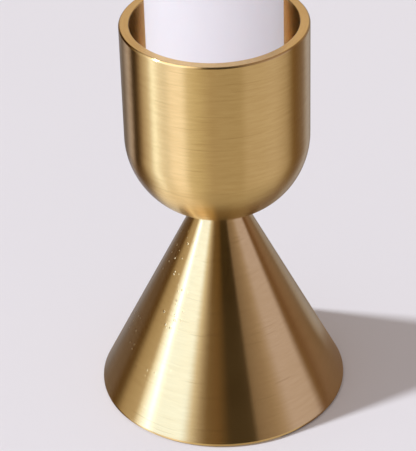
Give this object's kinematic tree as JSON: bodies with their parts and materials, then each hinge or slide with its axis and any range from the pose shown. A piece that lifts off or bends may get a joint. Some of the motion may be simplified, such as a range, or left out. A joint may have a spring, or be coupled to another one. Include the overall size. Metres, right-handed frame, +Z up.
{
  "type": "pillar candle holder",
  "caption": "Brushed brass pillar candle holder: a round-bottomed cylindrical cup bolted on top of a hollow cone, with a removable pillar candle standing in the cup.",
  "frame": {"origin": "centre of the underside, on the plane where the felt pad rests on the table", "axes": "+Z up along the holder's own axis, from the foot to the rim of the cup"},
  "size_m": [0.0966, 0.0966, 0.2052],
  "materials": {
    "brushed_brass": "satin",
    "zinc_steel": "satin",
    "plate_steel": "matte",
    "felt": "matte",
    "wax": "matte",
    "cotton": "matte"
  },
  "bodies": {
    "holder": {"cup": "brushed_brass", "cone_base": "brushed_brass", "joining_stud": "zinc_steel", "flat_washer": "zinc_steel", "lock_washer": "zinc_steel", "hex_nut": "zinc_steel", "base_plate": "plate_steel", "felt_pad": "felt"},
    "candle": {"candle_wax": "wax", "wick": "cotton"}
  },
  "joints": [
    {"name": "candle_lift", "type": "slide", "parent": "holder", "child": "candle", "axis": [0, 0, 1], "range_m": [0, 0.08]}
  ]
}
